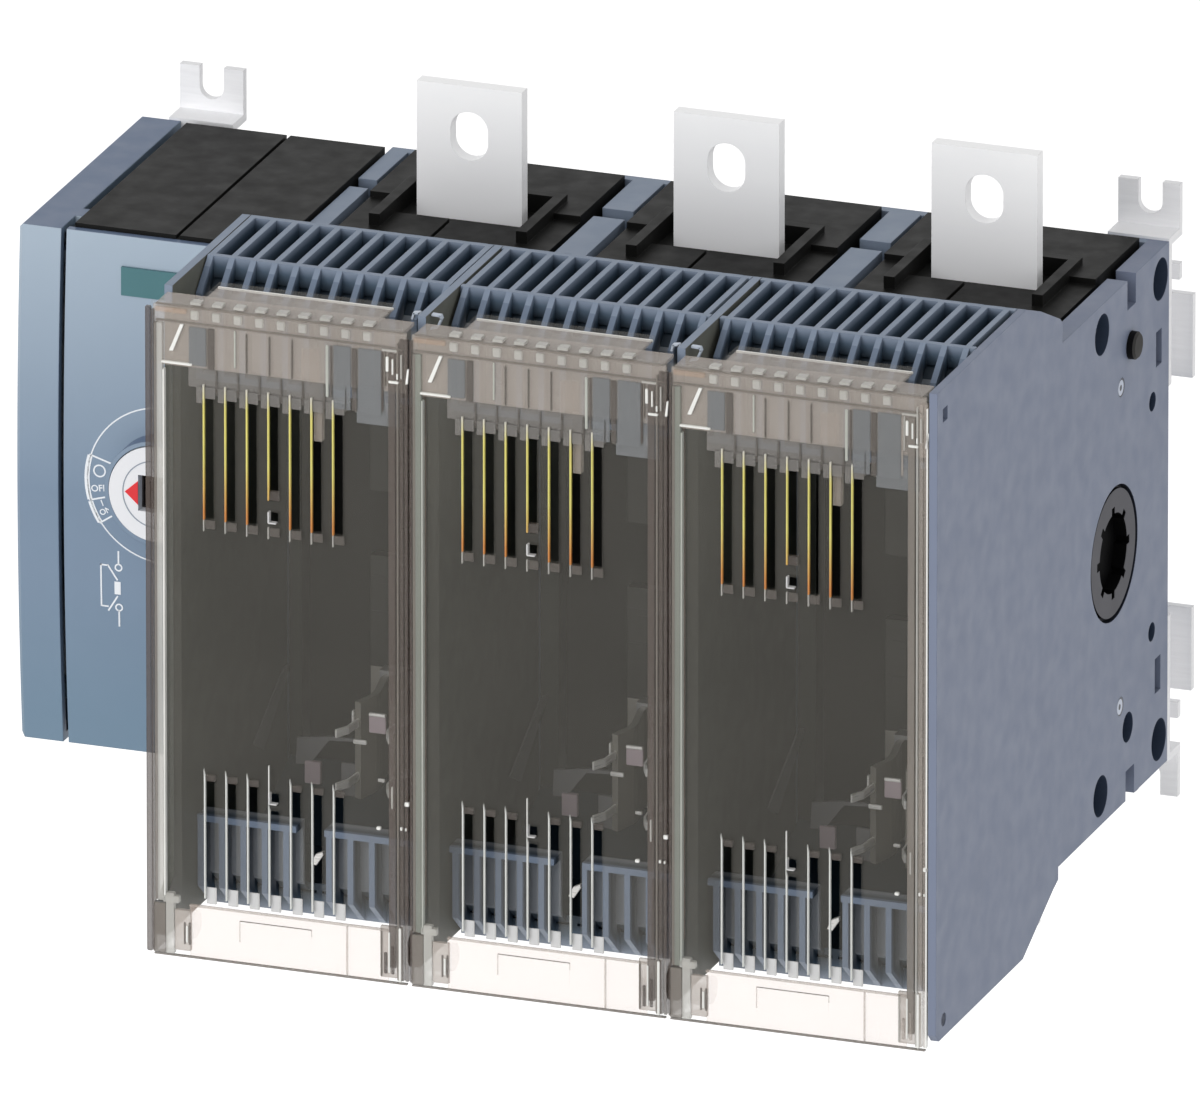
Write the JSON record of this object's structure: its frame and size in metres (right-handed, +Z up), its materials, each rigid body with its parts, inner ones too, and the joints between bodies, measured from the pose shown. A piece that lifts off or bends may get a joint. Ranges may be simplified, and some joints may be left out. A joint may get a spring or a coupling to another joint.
{
  "type": "fuse switch disconnector",
  "caption": "Fuse switch disconnector with a side rotary mechanism, flat terminal bars, ribbed grilles and hinged clear fuse covers over open fuse compartments.",
  "frame": {"origin": "on the mounting plane at the backs of the feet, at the boundary of the first and second pole and the middle of the base height", "axes": "+X along the row of poles to the right seen from the front, +Y back into the wall, +Z up"},
  "size_m": [0.391, 0.256, 0.288],
  "materials": {
    "blue_plastic": "fine-grained moulded thermoset",
    "black_plastic": "matt moulded thermoset",
    "grey_plastic": "matt moulded",
    "clear_cover": "lightly smoked clear polycarbonate",
    "plated_contact": "tin-plated copper, satin",
    "zinc_steel": "zinc-plated sheet steel",
    "drive_steel": "machined steel",
    "spring_steel": "spring steel",
    "white_plastic": "smooth white plastic",
    "red_plastic": "red pointer",
    "label": "blank plate"
  },
  "bodies": {
    "base": {"base_frame": "blue_plastic", "bearing_plate": "zinc_steel", "fuse_partition_1": "blue_plastic", "fuse_partition_2": "blue_plastic", "housing_screws": "zinc_steel", "jaw_bands": "spring_steel", "label_plate": "label", "left_side_panel": "blue_plastic", "lower_fuse_contact_1": "plated_contact", "lower_fuse_contact_2": "plated_contact", "lower_fuse_contact_3": "plated_contact", "lower_grille_1": "blue_plastic", "lower_grille_2": "blue_plastic", "lower_grille_3": "blue_plastic", "lower_left_foot": "zinc_steel", "lower_right_foot": "zinc_steel", "lower_terminal_1": "plated_contact", "lower_terminal_2": "plated_contact", "lower_terminal_3": "plated_contact", "mechanism_front_plate": "blue_plastic", "mechanism_housing_left": "black_plastic", "mechanism_housing_right": "black_plastic", "mechanism_side_shell": "blue_plastic", "pole_shell_left_1": "black_plastic", "pole_shell_left_2": "black_plastic", "pole_shell_left_3": "black_plastic", "pole_shell_right_1": "black_plastic", "pole_shell_right_2": "black_plastic", "pole_shell_right_3": "black_plastic", "right_side_panel": "blue_plastic", "side_plug": "black_plastic", "slide_spring": "spring_steel", "upper_fuse_contact_1": "plated_contact", "upper_fuse_contact_2": "plated_contact", "upper_fuse_contact_3": "plated_contact", "upper_grille_1": "blue_plastic", "upper_grille_2": "blue_plastic", "upper_grille_3": "blue_plastic", "upper_left_foot": "zinc_steel", "upper_right_foot": "zinc_steel", "upper_terminal_1": "plated_contact", "upper_terminal_2": "plated_contact", "upper_terminal_3": "plated_contact"},
    "dial": {"dial_disc": "white_plastic", "dial_pointer": "red_plastic", "drive_sleeve": "drive_steel", "drive_crank": "drive_steel"},
    "drive_slide": {"drive_slide": "drive_steel"},
    "switch_shaft": {"switching_shaft": "drive_steel", "shaft_pinion": "drive_steel", "star_coupling": "grey_plastic", "rotor_1": "black_plastic", "rotor_2": "black_plastic", "rotor_3": "black_plastic", "moving_contacts_1": "plated_contact", "moving_contacts_2": "plated_contact", "moving_contacts_3": "plated_contact"},
    "cover_1": {"fuse_cover_1": "clear_cover"},
    "cover_2": {"fuse_cover_2": "clear_cover"},
    "cover_3": {"fuse_cover_3": "clear_cover"}
  },
  "joints": [
    {"name": "dial_turn", "type": "hinge", "parent": "base", "child": "dial", "pos_m": [-0.137, -0.14, 0.0068], "axis": [0, -1, 0], "range_deg": [0, 25]},
    {"name": "slide_lift", "type": "slide", "parent": "base", "child": "drive_slide", "axis": [0, 0, 1], "range_m": [0, 0.0107], "stiffness_N_per_m": 20, "springref_m": 0.068, "deforming": ["slide_spring"]},
    {"name": "shaft_turn", "type": "hinge", "parent": "base", "child": "switch_shaft", "pos_m": [0, -0.071, 0], "axis": [-1, 0, 0], "range_deg": [0, 43.8]},
    {"name": "cover_1_hinge", "type": "hinge", "parent": "base", "child": "cover_1", "pos_m": [-0.0504, -0.248, -0.112], "axis": [1, 0, 0], "range_deg": [0, 90]},
    {"name": "cover_2_hinge", "type": "hinge", "parent": "base", "child": "cover_2", "pos_m": [0.0456, -0.248, -0.112], "axis": [1, 0, 0], "range_deg": [0, 90]},
    {"name": "cover_3_hinge", "type": "hinge", "parent": "base", "child": "cover_3", "pos_m": [0.1416, -0.248, -0.112], "axis": [1, 0, 0], "range_deg": [0, 90]}
  ],
  "couplings": [
    {"joint": "slide_lift", "follows": "dial_turn", "m_per_rad": 0.02381},
    {"joint": "shaft_turn", "follows": "dial_turn", "ratio": 1.7007}
  ]
}
